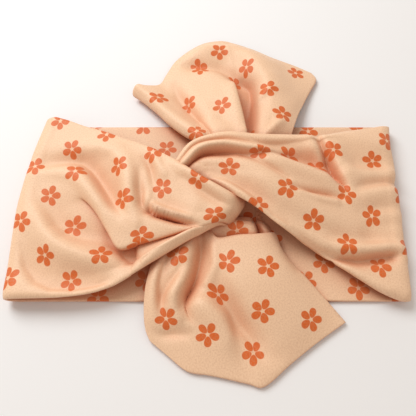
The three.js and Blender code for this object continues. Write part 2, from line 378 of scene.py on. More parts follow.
class Graph:
    """Builds a material's nodes from short calls."""

    def __init__(self, name):
        self.material = bpy.data.materials.new(name)
        self.material.use_nodes = True
        self.tree = self.material.node_tree
        self.surface = self.tree.nodes["Principled BSDF"]

    def node(self, kind, **settings):
        made = self.tree.nodes.new(kind)
        for key, value in settings.items():
            setattr(made, key, value)
        return made

    def feed(self, socket, value):
        if isinstance(value, bpy.types.NodeSocket):
            self.tree.links.new(value, socket)
        else:
            socket.default_value = value

    def math(self, operation, *values):
        made = self.node("ShaderNodeMath", operation=operation)
        for socket, value in zip(made.inputs, values):
            self.feed(socket, value)
        return made.outputs[0]

    def mix(self, factor, a, b):
        made = self.node("ShaderNodeMix", data_type="RGBA")
        self.feed(made.inputs["Factor"], factor)
        self.feed(made.inputs["A"], a)
        self.feed(made.inputs["B"], b)
        return made.outputs["Result"]

    def noise(self, vector, scale, detail=2.0):
        made = self.node("ShaderNodeTexNoise")
        self.feed(made.inputs["Vector"], vector)
        made.inputs["Scale"].default_value = scale
        made.inputs["Detail"].default_value = detail
        return made.outputs["Fac"]


def flower_mask(graph, x, y):
    """1 on the five petals of a flower about the origin, one of them along X, and 0 off them."""

    def length(a, b):
        squares = graph.math("MULTIPLY", a, a), graph.math("MULTIPLY", b, b)
        return graph.math("SQRT", graph.math("ADD", *squares))

    radius = length(x, y)
    half_petal = math.pi / 5
    angle = graph.math("WRAP", graph.math("ARCTAN2", y, x), half_petal, -half_petal)
    out = graph.math("MULTIPLY", radius, graph.math("COSINE", angle))
    side = graph.math("MULTIPLY", radius, graph.math("SINE", angle))
    centre, half_length, half_width, taper = 3.9, 2.95, 2.15, 0.42
    sharpness, spread = 7.0, 0.35
    along = graph.math("DIVIDE", graph.math("SUBTRACT", out, centre), half_length)
    width = graph.math("MULTIPLY_ADD", along, taper, half_width)
    inside = graph.math("SUBTRACT", 1, length(along, graph.math("DIVIDE", side, width)))
    edge = graph.math("MULTIPLY_ADD", inside, sharpness, spread)
    return graph.math("MINIMUM", graph.math("MAXIMUM", edge, 0), 1)


def printed_knit():
    """Double-brushed stretch knit: peach with terracotta flowers, a fine knit grain, a soft nap and painted
    shade in its folds.
    """
    graph = Graph("printed_knit")
    place = graph.node("ShaderNodeUVMap", uv_map="weave").outputs["UV"]
    split = graph.node("ShaderNodeSeparateXYZ")
    graph.feed(split.inputs[0], place)
    from_flower = graph.node("ShaderNodeSeparateXYZ")
    graph.feed(from_flower.inputs[0], graph.node("ShaderNodeUVMap", uv_map="print").outputs["UV"])
    petals = flower_mask(graph, from_flower.outputs[0], from_flower.outputs[1])

    cloth = graph.mix(graph.noise(place, 0.05), (0.95, 0.635, 0.41, 1), (0.98, 0.675, 0.445, 1))
    ink = graph.mix(graph.noise(place, 0.4), (0.72, 0.115, 0.005, 1), (0.80, 0.150, 0.012, 1))
    printed = graph.mix(petals, cloth, ink)
    grain = graph.noise(place, 1.1, 4.0)
    speckle = graph.math("MULTIPLY", graph.math("MAXIMUM", graph.math("SUBTRACT", grain, 0.4), 0), 1.2)
    nap = graph.mix(speckle, printed, (0.62, 0.33, 0.19, 1))

    # Painted shade: the base colour is mixed towards a dim red wherever other cloth is near, within 2 cm, so
    # tight folds and creases are painted darker and redder. It stands in for light that reaches the bottom of
    # a tight fold, which has met the cloth many times and is redder and dimmer.
    openness = graph.node("ShaderNodeAmbientOcclusion", samples=8)
    openness.inputs["Distance"].default_value = 0.02
    closeness = graph.math("SUBTRACT", 1, openness.outputs["AO"])
    painted_shade = graph.math("MULTIPLY", closeness, 1.1)
    graph.feed(graph.surface.inputs["Base Color"], graph.mix(painted_shade, nap, (0.62, 0.17, 0.06, 1)))

    # Wales and courses of the knit, a little under a millimetre apart, with the brushed nap over them.
    wales = graph.math("SINE", graph.math("MULTIPLY", split.outputs[0], 7.5))
    courses = graph.math("SINE", graph.math("MULTIPLY", split.outputs[1], 9.0))
    loops = graph.math("MULTIPLY", graph.math("MULTIPLY", wales, courses), 0.35)
    height = graph.math("ADD", loops, grain)
    bump = graph.node("ShaderNodeBump")
    bump.inputs["Strength"].default_value = 0.25
    bump.inputs["Distance"].default_value = 0.0004
    graph.feed(bump.inputs["Height"], height)
    graph.feed(graph.surface.inputs["Normal"], bump.outputs[0])
    graph.surface.inputs["Roughness"].default_value = 0.46
    graph.surface.inputs["Specular IOR Level"].default_value = 0.4
    graph.surface.inputs["Sheen Weight"].default_value = 0.1
    graph.surface.inputs["Sheen Roughness"].default_value = 0.5
    graph.surface.inputs["Sheen Tint"].default_value = (1.0, 0.85, 0.72, 1)
    return graph.material


def seam_thread():
    """Twisted polyester thread, a shade deeper than the cloth."""
    graph = Graph("seam_thread")
    place = graph.node("ShaderNodeTexCoord").outputs["Object"]
    colour = graph.mix(graph.noise(place, 900), (0.72, 0.36, 0.19, 1), (0.9, 0.52, 0.3, 1))
    graph.feed(graph.surface.inputs["Base Color"], colour)
    twist = graph.node("ShaderNodeTexWave", bands_direction="DIAGONAL")
    graph.feed(twist.inputs["Vector"], place)
    twist.inputs["Scale"].default_value = 900
    bump = graph.node("ShaderNodeBump")
    bump.inputs["Strength"].default_value = 0.5
    bump.inputs["Distance"].default_value = 0.0001
    graph.feed(bump.inputs["Height"], twist.outputs["Fac"])
    graph.feed(graph.surface.inputs["Normal"], bump.outputs[0])
    graph.surface.inputs["Roughness"].default_value = 0.55
    return graph.material


def floor_paint():
    """The plain, pale floor."""
    graph = Graph("floor_paint")
    graph.surface.inputs["Base Color"].default_value = (0.93, 0.93, 0.93, 1)
    graph.surface.inputs["Roughness"].default_value = 0.9
    return graph.material


# ---------------------------------------------------------------- the two halves of the loop


# The side folds' outermost edges, as (y, x).
LEFT_FOLD = [(-61, -117), (-30, -118.5), (0, -119), (25, -117), (45, -114), (62, -110.5)]
RIGHT_FOLD = [(-61, 116.5), (-27, 118), (5, 120.5), (12, 119), (25, 122), (42, 121.5), (62, 124)]

# The points of a rail round a side fold: how far each is inside the edge, and its share of the way up.
SIDE_TURN = [(5, 0.02), (0.9, 0.22), (0, 0.5), (0.9, 0.78), (5, 0.98)]
SIDE_FLAT = 16  # how far inside the edge the back band is still flat
SIDE_SLANT = 0.6  # share of a rail's slant on the front that it keeps on its way to the fold

# How the rails go on inside the knot. The left tube's take two steps from their last point, each with a least
# height, and the right tube's take one step from their first.
LEFT_TURN = [((5, 1, -7), 12), ((1, 4, -12), 11)]
RIGHT_TURN = (-4, -2, -5)

# Rails of the left front wrap, from the south edge to the north edge: how far across the flat tube each one
# is, and its points from the side fold to the knot. The fifth rail lies hidden under the sixth, a pleat's
# edge.
LEFT_WRAP = [
    (0, [(-103, -61, 10), (-84, -60.5, 10.2), (-67, -58.5, 10.3), (-57, -55.5, 10.5), (-49, -51.5, 11),
         (-39, -45, 12), (-26, -37, 13.5), (-6, -25, 15.5), (7, -18, 15)]),
    (3.5, [(-102, -59, 12), (-84, -58.5, 12.2), (-68, -56, 12.5), (-58, -52.5, 13), (-50, -48.5, 13.8),
           (-41, -42.5, 15), (-28, -34.5, 16.5), (-7, -23, 18.5), (6, -17, 17.5)]),
    (18, [(-104, -44, 11), (-85, -46, 11), (-69, -46, 11.5), (-60, -44.5, 12), (-53, -43, 12),
          (-44, -40, 13.5), (-30, -33.5, 15.5), (-8, -22, 17.5), (6, -15, 16.5)]),
    (41, [(-104, -19, 12.5), (-91, -24, 13), (-76, -31, 12.5), (-65, -34, 12), (-57, -36, 11.5),
          (-45, -35, 13), (-30, -30, 15), (-7, -20, 16.5), (7, -13, 16.5)]),
    (58, [(-104, -3, 12.5), (-87, -4, 12), (-68, -2, 11.5), (-56, -13, 11.5), (-50, -22, 11.5),
          (-41, -24, 12.5), (-26, -21, 14.5), (-4, -15, 16.5), (9, -11, 17)]),
    (76, [(-105, 15, 12.5), (-86, 9, 14), (-70, -6, 14.5), (-60, -21, 15), (-52.5, -32, 15), (-42, -30, 16),
          (-28, -26.5, 17.5), (-7, -21, 19.5), (8, -16.5, 19)]),
    (90, [(-105, 29, 12), (-83, 22, 14), (-66, 8, 16), (-56, -8, 16.5), (-49, -20, 17), (-39, -20, 18.5),
          (-25, -17, 20.5), (-4, -13.5, 22.5), (12.5, -12, 21.5)]),
    (107, [(-103, 44, 12), (-83, 38, 13), (-64, 29, 15), (-52, 20, 17), (-44, 12, 18.5), (-34, 6, 20.5),
           (-19, 2, 23), (-2, -4, 25), (16, -7, 23)]),
    (124, [(-99, 62, 12), (-83, 55.5, 12.5), (-67, 49.5, 13.5), (-55, 43.5, 15), (-46, 39.5, 17),
           (-36, 34, 19), (-21, 23.5, 23), (-2, 8, 25.5), (17, -2.5, 23.5)]),
]

# Rails of the right front wrap, from the south edge to the north edge: how far across the flat tube each one
# is, and its points from the knot to the side fold. The last four make the rope, which is two rolls of cloth
# over the root of the top tail, and the seventh is the groove below it.
RIGHT_WRAP = [
    (0, [(4, 4, 20), (13, -0.5, 22.5), (21, -5.5, 24), (31, -12, 23), (44, -21, 19), (58, -28.5, 14),
         (73, -38, 9.5), (90, -50.5, 7.2), (105, -59.5, 7)]),
    (3.5, [(2, 7, 21), (10, 3.5, 25), (20, -3, 27), (31, -10, 26), (44, -19, 22.5), (57, -27, 17.5),
           (72, -37, 12.5), (89, -49, 9.8), (104, -57.5, 9.5)]),
    (14, [(-3, 10, 21), (7, 9, 25), (19, 4, 27), (33, -2.5, 26.5), (48, -9, 23), (63, -17.5, 18.5),
          (80, -27.5, 14.5), (94, -38.5, 12), (106, -48, 11)]),
    (26, [(-7, 12, 21), (4, 14, 25), (18, 10.5, 27.5), (34, 5, 27), (53, 1, 23), (69, -6, 19),
          (85, -14.5, 15.5), (97, -26, 13), (108, -35.5, 12)]),
    (41, [(-11, 13, 21), (1, 17, 25), (17, 14.5, 27), (36, 11, 26.5), (56, 8, 22.5), (73, 3, 19),
          (88, -4, 16), (99, -13, 14), (110, -21, 13)]),
    (57, [(-13, 15.5, 21.5), (-3, 21.5, 25), (14, 21, 26.5), (33, 19, 26), (55, 18, 21.5), (75, 14, 18.5),
          (90, 9, 16), (101, 2, 14.5), (111, -5, 13.5)]),
    (75, [(-14, 17, 19.5), (-5, 26, 20.5), (9, 28, 21.5), (31, 25, 24), (56, 27, 21), (76, 25, 18),
          (92, 22, 16), (103, 18, 14.5), (111, 12, 13.5)]),
    (90, [(-15, 19, 26), (-6, 28, 29), (9, 31, 30.5), (31, 28, 28.5), (56, 33, 21.5), (77, 35, 17.5),
          (92, 35, 15.5), (104, 32, 14.5), (113, 29, 13.5)]),
    (103, [(-18, 20, 23), (-9, 31, 25.5), (8, 35, 27), (30, 33, 26), (57, 38, 20), (77, 41, 16.5),
           (93, 42, 15), (106, 42, 13.5), (114, 41, 12.8)]),
    (113, [(-20, 21, 23), (-10, 33, 26.5), (8, 38, 28.5), (31, 37, 27), (57, 41, 20.5), (77, 43, 16.8),
           (93, 47, 14.5), (106, 49, 13), (115, 51, 12.3)]),
    (124, [(-21, 22, 20), (-12, 35, 22), (8, 42, 24), (31, 42, 23), (58, 45, 17), (77, 46, 14),
           (94, 51, 12.5), (108, 54, 11.5), (116, 56, 11)]),
]

# Folds of the left wrap's lower strand, below the pleat: a line of (x, y, rise), and how far each slope of
# the fold reaches to the left and to the right of the line, seen from above and going along it.
LEFT_LOWER_FOLDS = [
    ([(-106, 2, -0.6), (-98, -8, -1.6), (-92, -16, -2.4), (-85, -21, -2.6), (-77, -24, -2.4), (-68, -25, -2),
      (-60, -27, -1.5)], 10, 5),
    ([(-109, -2, 0.6), (-104, -11, 1.6), (-98, -21, 2.2), (-91, -29, 2.6), (-82, -34, 2.8), (-71, -38, 2.6),
      (-61, -41, 2.2), (-51, -42, 1.2)], 6, 8),
    ([(-111, -30, -0.6), (-107, -42, -1.4), (-100, -51, -1.8), (-90, -55.5, -2), (-78, -56, -2.2),
      (-66, -54.5, -2.4), (-55, -51.5, -2.4), (-47, -47, -2), (-40, -42, -1)], 10, 2.4),
    ([(-113, -60, 0.3), (-95, -60, 0.5), (-76, -59.5, 0.8), (-61, -56, 1.5), (-46, -48, 1.8),
      (-31, -38, 1.5), (-10, -26, 0.8)], 2.4, 2.4),
    ([(-60, -21, -1), (-53, -30, -2.8), (-48, -35, -3.2), (-44, -37, -2)], 4, 4.5),
    ([(-42.8, -29, -3.4), (-43, -37, -2.8), (-43.4, -43, -1)], 0.8, 6),
    ([(-38, -37, 0.6), (-25, -30, 1), (-8, -22.5, 0.8)], 2, 2),
]

# Folds of the left wrap's upper strand, from the side fold to the knot.
LEFT_UPPER_FOLDS = [
    ([(-106, 34, 0.3), (-85, 36, 1), (-70, 37.5, 1.6), (-60, 33, 2), (-53.5, 23, 2), (-51, 11, 1.8),
      (-50, 0, 1)], 9, 5),
    ([(-112, 25, -0.4), (-100, 27.5, -1.6), (-90, 28.5, -2.4), (-82, 27.5, -3.2), (-75, 22, -3.8),
      (-69, 14, -4), (-63.5, 5, -3.4), (-58, -4, -2.2), (-52, -10, -0.8)], 8, 4.5),
    ([(-108, 18, 0.6), (-94, 20, 1.2), (-84, 18.5, 1.6), (-78, 13, 2), (-72, 5.5, 2.2), (-66, -2.5, 2.2),
      (-60, -10, 1.6), (-53, -16, 1)], 4.5, 8),
    ([(-52, 28, 0.4), (-49, 15, 1), (-48, 3, 1.6), (-46.5, -8, 1.8), (-43, -17, 1.2)], 4, 6),
    ([(-43, 17, -0.6), (-42.5, 4, -1.6), (-40.5, -5, -2), (-37.5, -10, -1.6)], 3.5, 3),
    ([(-37, 0, -0.6), (-31, -3.5, -1.6), (-24, -7.5, -2), (-16, -10.5, -1.6), (-8, -12.5, -0.6)], 8, 3.5),
    ([(-38, -1, 0.8), (-37, -6, 1.8), (-33, -9, 2.2), (-27, -11.4, 2), (-19, -14, 1.5), (-12, -16, 0.7)],
     2.6, 1.5),
    ([(-35.5, -5.5, -1.6), (-34.5, -9.5, -4.2), (-31, -12.2, -5.4), (-25.5, -14.2, -5.4), (-19, -16.6, -4.2),
      (-12, -18.4, -2.4), (-6, -19.5, -0.6)], 1.4, 2.6),
    ([(-40, 27, -0.6), (-36, 19, -1.6), (-34, 10, -1.4), (-32, 3, -0.6)], 3, 3),
    ([(-36, 31, 0.8), (-32, 22, 1.2), (-27, 14, 0.8)], 3, 3),
    ([(-15, 10, -0.8), (-3, 1, -1.6), (7, -6, -1.6), (14, -9.5, -0.6)], 2.5, 4.5),
    ([(-22, 20, 0.8), (-9, 11, 1.2), (3, 2.5, 1.2), (13, -4.5, 0.8)], 2.5, 3),
    ([(-28, 8, -0.6), (-14, 0, -0.8), (0, -7, -0.5)], 5, 5),
]

# Folds of the right wrap, from the knot to the side fold.
RIGHT_FOLDS = [
    ([(2, 15, -0.8), (13, 9, -2), (22, 2, -3), (30, -5, -3.2), (39, -13, -3), (49, -19, -2.6), (60, -25, -2),
      (72, -29, -1.2)], 9, 4),
    ([(-2, 6, 0.6), (10, 0, 1), (24, -9, 1.2), (40, -21, 1.2), (56, -31, 1), (64, -35, 0.6)], 3.5, 3),
    ([(20, 22, 0.3), (34, 9, 1), (46, -1, 1.4), (58, -9, 1.6), (72, -16, 1.6), (86, -22, 1)], 7, 8),
    ([(20, 28, 0.4), (30, 26.5, 1.4), (38, 23.5, 2.2), (46, 20.5, 2.6), (54, 17.5, 2.6), (62, 15, 2.4),
      (70, 12, 2), (79, 8, 1.2), (86, 3, 0.5)], 4, 6),
    ([(22, 24, -0.6), (32, 19.5, -1.2), (41, 14, -1.2), (48, 9, -0.6)], 2.2, 2.4),
    ([(34, 33, -0.8), (42, 31, -2.2), (50, 28.5, -3.4), (58, 26.5, -4.2), (66, 24.5, -4.6), (73, 21.5, -4.2),
      (78, 17, -2.6), (81, 12, -1)], 8, 4),
    ([(52, 3.5, -0.8), (62, 1.5, -1.5), (73, 0.5, -1.4), (82, -1, -0.6)], 2.5, 1.6),
    ([(56, 0, 0.5), (66, -2.5, 1), (78, -4, 0.8)], 1.6, 2.5),
    ([(66, 42, 1), (69.5, 34, 1.6), (73, 26, 1.6), (76, 18, 1)], 3, 5),
    ([(75.5, 46, 0.8), (78.5, 36, 1.6), (82, 25, 2), (85, 15, 2), (88.5, 7, 1.4), (92, 2, 0.5)], 9, 2.5),
    ([(72, 44, -0.8), (74.5, 36, -2), (78, 25, -3), (81, 15, -3), (84.5, 8, -1.4)], 1.8, 4),
    ([(86, 44, 0.6), (98, 43, 1), (112, 41, 1)], 6, 6),
    ([(84, 28, -0.6), (94, 25, -1.6), (106, 24, -1.8), (118, 26, -1.4)], 9, 5),
    ([(90, 16, 0.5), (102, 17, 1), (116, 18, 0.8)], 6, 6),
    ([(90, 6, -0.4), (98, 9, -1), (108, 11.5, -1.4), (119, 12, -1.8)], 4, 3),
    ([(88, -2, 0.4), (97, 2, 1), (108, 5, 1.4), (119, 6.5, 1)], 4, 5),
    ([(94, -9, -0.4), (105, -6, -1), (114, -5, -1.1), (121, -5, -0.6)], 4, 4),
    ([(100, -17, -0.4), (110, -16, -0.8), (120, -15, -0.6)], 5, 4),
    ([(74, -23, -0.6), (85, -25.5, -1.2), (97, -26.5, -1.6), (109, -27, -1.4), (117, -27, -0.8)], 9, 4),
    ([(50, -19, 0.5), (60, -25, 1.4), (70, -30.5, 1.8), (82, -34, 2), (95, -33.5, 2.4), (106, -31.5, 2.4),
      (113, -32, 1.8), (115.5, -37, 1)], 5, 1.8),
    ([(50, -22.5, -0.6), (58, -28, -2), (66, -32.8, -2.8), (75, -36.5, -3.2), (88, -38, -3.6),
      (100, -36.8, -3.8), (108, -35.4, -3), (112, -34.4, -1)], 1.5, 4.5),
    ([(60, -32.5, 0.5), (74, -41, 0.9), (90, -50.5, 1), (104, -57, 0.8)], 4, 2.5),
]


# Flowers: x, y and the direction of one petal in degrees, seen from above. Those on the back are on its upper
# side.
LEFT_FLOWERS = [
    (-112, 25, 70), (-100, 60.5, 66), (-113, -15, 70), (-115, -49.5, 40), (-99, 3, 74), (-96, -36, 76),
    (-89, 36, 66), (-84, 18, 66), (-82, -17, 72), (-80, -51, 68), (-67, 47, 61), (-62, -36, 90),
    (-56, 20, 60),
    (-51, -2, 60), (-35, 30, 60), (-39, -26, 76), (-28, 4, 45), (-6, 7, 58), (4, -15, 50),
]
LEFT_BACK_FLOWERS = [(-29, 44, 60), (-64, -61, 60), (-38, -48, 60), (9, -13, 60)]
RIGHT_FLOWERS = [
    (13, 15, 85), (30, -9, 75), (32, 25, 70), (48, 2, 73), (51, 28, 60), (62, -17, 84), (70, 22, 60),
    (84, 1, 70),
    (82, -30.5, 94), (100, -12, 92), (107, 28, 97), (101, -42, 62), (81, 32, 45), (119, 43, 60),
    (121, -30, 60), (121, 4, 60),
]
RIGHT_BACK_FLOWERS = [
    (48.5, -20.5, -90), (69, -37.5, -90), (88, -53.5, -90), (59, -49, -90), (70, 62, 60), (105, 62, 60),
]


def moved(point, step):
    return tuple(a + b for a, b in zip(point, step))


def turned_down(point):
    """The points by which a rail of the left tube goes on from this one, down inside the knot."""
    for step, least in LEFT_TURN:
        x, y, z = moved(point, step)
        yield x, y, max(z, least)


def fold_x(line, y):
    """The outermost x of a side fold at y."""
    ys, xs = zip(*line)
    return float(np.interp(y, ys, xs))


def back_and_fold(y, side, fold, seam_x, front):
    """One rail's points along the back band and round the side fold.

    front is the two points of its front that are nearest to the fold. side is -1 at the left, 1 at the right.
    """
    edge = fold_x(fold, y)
    near, next_one = front
    slant = (near[1] - next_one[1]) / (near[0] - next_one[0])
    last_x = edge - side * SIDE_TURN[-1][0]
    shift = near[1] + SIDE_SLANT * slant * (last_x - near[0]) - y
    rise = near[2] - BACK_MID
    return [
        (seam_x, y, BACK_MID),
        ((seam_x + edge) / 2, y, BACK_MID),
        (edge - side * SIDE_FLAT, y, BACK_MID),
        *((edge - side * inwards, y + up * shift, BACK_MID + up * rise) for inwards, up in SIDE_TURN),
    ]


def left_half(material):
    """The left tube, from the centre-back seam round its side fold to where it turns down inside the knot."""
    net = []
    for flat_y, points in LEFT_WRAP:
        y = SOUTH + flat_y * (NORTH - SOUTH) / LEFT_WRAP[-1][0]
        front = [moved(p, (0, 0, -TUBE / 2)) for p in (*points, *turned_down(points[-1]))]
        net.append(back_and_fold(y, -1, LEFT_FOLD, SEAM_X - SEAM_GAP, front[:2]) + front)
    grid = sheet_through(net, (0, 2))
    for points, left, right in LEFT_LOWER_FOLDS:
        stroke(grid, points, left, right, (0, 0.5), LOWEST_FRONT)
    for points, left, right in LEFT_UPPER_FOLDS:
        stroke(grid, points, left, right, (0.58, 1), LOWEST_FRONT)
    return cloth_tube("left_half", softened(grid, 1), material, LEFT_FLOWERS, LEFT_BACK_FLOWERS,
                      petal_angle=90, repeat_below=2 * BACK_MID)


def right_half(material):
    """The right tube, from the centre-back seam round its side fold to where it passes under the left one."""
    net = []
    for flat_y, points in RIGHT_WRAP:
        y = SOUTH + flat_y * (NORTH - SOUTH) / RIGHT_WRAP[-1][0]
        front = [moved(p, (0, 0, -TUBE / 2)) for p in (moved(points[0], RIGHT_TURN), *points)]
        net.append(front + back_and_fold(y, 1, RIGHT_FOLD, SEAM_X + SEAM_GAP, front[:-3:-1])[::-1])
    grid = sheet_through(net, (-3, -1))
    for points, left, right in RIGHT_FOLDS:
        stroke(grid, points, left, right, lowest=LOWEST_FRONT)
    return cloth_tube("right_half", softened(grid, 1), material, RIGHT_FLOWERS, RIGHT_BACK_FLOWERS,
                      petal_angle=90, repeat_below=2 * BACK_MID)


# ---------------------------------------------------------------- the tails

# Rails of the top tail from its west edge to its east edge, and their points from the root to the free end.
# The third rail is the crest of the rolled west edge. The ninth is the edge of the cloth that hangs over the
# deep fold in the middle, and the tenth and eleventh are the bottom of that fold.
TOP_TAIL = [
    [(-2, 37, 11), (-4, 43, 11), (-11, 52, 8), (-21, 63, 5), (-31, 74, 3.5), (-40, 83, 2.5),
     (-47, 88.5, 2.5)],
    [(-4, 36, 13), (-7, 41, 14.5), (-16, 49, 12), (-26, 59, 9.5), (-36, 71, 7.5), (-45, 80.5, 6),
     (-54, 88.5, 5)],
    [(-2, 36, 16), (-4, 43, 18), (-12, 51, 16.5), (-22, 61, 14), (-32, 72, 12), (-41, 82, 11),
     (-52, 93, 10)],
    [(0, 38, 14), (-1, 46, 15.5), (-7, 55, 12.5), (-15, 65, 9.5), (-25, 76, 7.5), (-33, 85, 7.5),
     (-45, 95, 7)],
    [(2, 38, 13.5), (2, 46, 15), (-3, 56, 11.5), (-11, 68, 8.5), (-20, 80, 6.2), (-28, 90, 4.5),
     (-36, 99, 3)],
    [(4, 38, 14), (4, 46, 17), (0, 56, 14.5), (-8, 72, 11), (-16, 88, 8), (-23, 98, 6), (-31, 108, 3.5)],
    [(10, 38, 14), (10, 46, 18), (8, 58, 16.5), (3, 75, 13.5), (-4, 92, 10), (-9, 105, 8.5),
     (-23, 123, 3.5)],
    [(18, 38, 14), (18, 46, 18), (16, 58, 17), (12, 77, 15), (7, 93, 12), (4, 105, 10.5), (-5, 138.5, 3.5)],
    [(25, 38, 14), (25, 46, 18), (24, 57, 18), (21.5, 74, 16.5), (18.5, 91, 14), (16, 103, 9.5),
     (8, 142, 3.5)],
    [(20, 40, 9), (20, 48, 10), (19, 59, 8.5), (16, 75, 6.5), (14.5, 90, 5.5), (19, 103, 8.5),
     (12, 142, 3.5)],
    [(28, 40, 9), (28, 49, 9.5), (29, 60, 7.5), (29, 77, 4.5), (27, 93, 4.5), (23, 103.5, 8.5),
     (17, 140.5, 3.5)],
    [(35, 40, 13), (35, 48, 15.5), (36, 59, 14), (37, 77, 11.5), (36, 96, 10.5), (31, 110, 10.5),
     (32, 132, 4.5)],
    [(44, 41, 13), (44, 49, 15.5), (46, 60, 14.5), (48, 78, 12), (48, 96, 11), (46, 109, 9), (46, 125, 4)],
    [(50, 43, 11), (51, 51, 13.5), (55, 63, 12), (60, 79, 9.5), (63, 94, 7), (65, 106, 5), (65, 117, 3)],
    [(55, 45, 10), (57, 52, 11), (62, 66, 8.5), (68, 79, 5.5), (74, 91, 4), (80, 102, 3), (78, 110, 2.5)],
]

# Folds of the top tail, as for the wraps.
TOP_FOLDS = [
    ([(-20, 115, -0.4), (-12, 113, -2), (-4, 112, -2.6), (7, 110, -2.8), (17, 104, -2.8)], 6, 5),
    ([(-22, 119, 0.8), (-10, 127, 2.4), (4, 131, 3), (18, 129, 3), (32, 121, 2), (48, 114, 1)], 7, 9),
    ([(24, 128, 0.3), (32, 118, 1.2), (38, 108, 2.2), (42, 98, 2.6), (44, 88, 2.4), (45, 78, 1.6),
      (44, 66, 0.8)], 12, 6),
    ([(18, 98, -2), (24, 98, -3), (28, 92, -3.4), (27, 80, -3.2), (27, 66, -2.4), (27, 54, -1.4)], 5, 5),
    ([(34, 41, 0.6), (39, 47, 1.2), (44, 53, 1.4), (49, 58, 0.8)], 2, 3),
    ([(31, 74, 0.4), (35, 79, 1.2), (40, 84, 1.2), (44, 87, 0.4)], 1.6, 3),
    ([(-24, 94, -0.8), (-20, 84, -1.6), (-13, 72, -1.6), (-6, 62, -1)], 5, 4),
    ([(16, 50, -0.5), (10, 60, -1), (6, 72, -0.6)], 5, 5),
]

TOP_FLOWERS = [
    (-8, 48, 82), (51, 63.5, 92), (9, 71, 60), (42, 85, 65), (-13, 77.5, 65), (19, 98.5, 50), (-35, 82, 70),
    (28, 108, 50), (65, 108.5, 30), (-5, 110, 50), (9, 125, 54), (28, 49, 50),
]

# Rails of the bottom tail from its west edge to its east edge, and their points from the root to the free
# end. The ninth is the first of the four that make its flat east side, which starts in a raised corner.
BOTTOM_TAIL = [
    [(-26, -30, 7), (-32, -38, 9), (-35, -48, 9), (-36.5, -59, 7.5), (-36.5, -69, 5.5), (-35.5, -77, 3.5),
     (-33, -83, 2.5)],
    [(-20, -26, 8), (-26, -33, 10.5), (-30, -46, 12), (-31.5, -59, 10.5), (-30.5, -71, 8), (-27, -80, 5),
     (-22, -91.5, 2.5)],
    [(-14, -22, 8), (-21, -29, 10), (-26, -44, 10), (-27.5, -59, 8.5), (-25, -71, 7), (-20, -82, 5),
     (-14, -98, 2.5)],
    [(-9, -19, 9), (-15, -26, 12), (-18, -42, 13), (-21, -57, 12.5), (-17.5, -70, 9), (-11, -82, 5.5),
     (-8, -100.5, 2.5)],
    [(-5, -16, 9), (-10, -23, 12.5), (-11, -36, 13), (-15, -53, 12), (-14, -68, 9.5), (-4, -83, 6),
     (0, -101.5, 2.5)],
    [(-1, -14, 8), (-5, -20, 10), (-5, -33, 8), (-9, -50, 7), (-12, -66, 8), (2, -83, 6), (8, -103, 2.5)],
    [(3, -12, 8), (-1, -18, 11), (0, -32, 10), (-3, -48, 9.5), (-4, -62, 11), (9, -83, 6),
     (15, -104.5, 2.5)],
    [(4, -14, 8), (1, -19, 11), (4, -31, 12), (5, -47, 11), (8, -62, 9), (17, -82, 4.5), (22, -106, 2.5)],
    [(6, -31, 9), (5, -25.5, 12.5), (11, -36, 14), (16, -50, 14), (21, -64, 12), (29, -82, 7.5),
     (30, -107.5, 2.5)],
    [(19, -29, 9), (18, -24, 13), (23, -35, 14), (30, -49, 14), (36, -62, 12), (43, -78, 8),
     (46, -95.5, 2.5)],
    [(31, -27, 8.5), (32, -23, 12.5), (35, -33, 13), (43, -45, 12), (51, -57, 9.5), (58, -70, 6.5),
     (62, -84, 2.5)],
    [(39, -26, 7.5), (41, -21, 10.5), (44, -29, 9.5), (51, -39, 7), (61, -51, 5), (71, -63, 3.5),
     (79, -73, 2.5)],
]

BOTTOM_FOLDS = [
    ([(-6, -54, -0.6), (4, -58, -1.6), (13, -66, -2.6), (20, -76, -2.8), (27, -86, -2.4), (33, -97, -1)],
      8, 6),
    ([(-12, -65, 0.8), (-1, -65, 1.6), (7, -71, 2), (13, -82, 1.8), (18, -92, 0.8)], 5, 9),
    ([(-15, -42, -1), (-21, -51, -1.8), (-25, -59, -1.4), (-27, -65, -0.4)], 3, 3),
    ([(-11, -46, 0.6), (-16, -53, 1.4), (-19.5, -59, 1.6), (-19, -65, 1.2), (-16, -71, 0.6)], 3, 3.5),
    ([(-4, -28, -0.8), (-4.5, -42, -1.8), (-8, -52, -2.2), (-13, -60, -2.2), (-15, -66, -1.8),
      (-12, -71, -1)], 4.5, 3.5),
    ([(-30, -83, -0.6), (-20, -80, -1.4), (-12, -80, -0.8)], 4, 3),
    ([(3, -30, 0.8), (4, -42, 1.2), (-1, -52, 1)], 3, 2),
    ([(42, -22, -1.5), (47, -33, -2), (53, -42, -1)], 4, 3),
    ([(27, -90, -0.6), (38, -96, -1), (34, -102, -0.5)], 5, 5),
]

BOTTOM_FLOWERS = [
    (-18, -36, 30), (11, -41, 70), (35, -44, 73), (6, -58, 58), (-24, -72, 44), (31, -69, 66), (0, -81, 55),
    (58, -73, 71), (25, -90, 56),
]

# The gathered cloth in the gap under the knot, from which the bottom tail comes: rails from west to east.
THROAT = [
    [(-6, -9, 9), (-4, -14, 12), (-3, -18, 11.5), (-2, -24, 9), (0, -31, 7)],
    [(8, -8, 8), (9, -12.5, 12.5), (10, -17, 12.5), (10, -23, 10.5), (10, -31, 7)],
    [(20, -10, 6), (21, -14.5, 11.5), (22, -18, 12.5), (22, -23, 10.5), (22, -31, 7)],
    [(26, -11, 5), (27, -15, 10.5), (28, -18.5, 11.5), (29, -24, 10), (30, -31, 7)],
    [(29, -11, 2.5), (30, -14, 4), (31, -18, 4.5), (32, -23, 5), (33, -31, 5)],
    [(31.5, -11, 4.5), (33.5, -15.5, 8.5), (35.5, -20, 9.5), (37, -25, 8), (38, -31, 6)],
    [(36, -12, 3), (38.5, -16, 4), (40, -20.5, 4), (41, -25, 3.8), (42, -31, 3.2)],
]

THROAT_FLOWERS = [(17.5, -21, 60)]

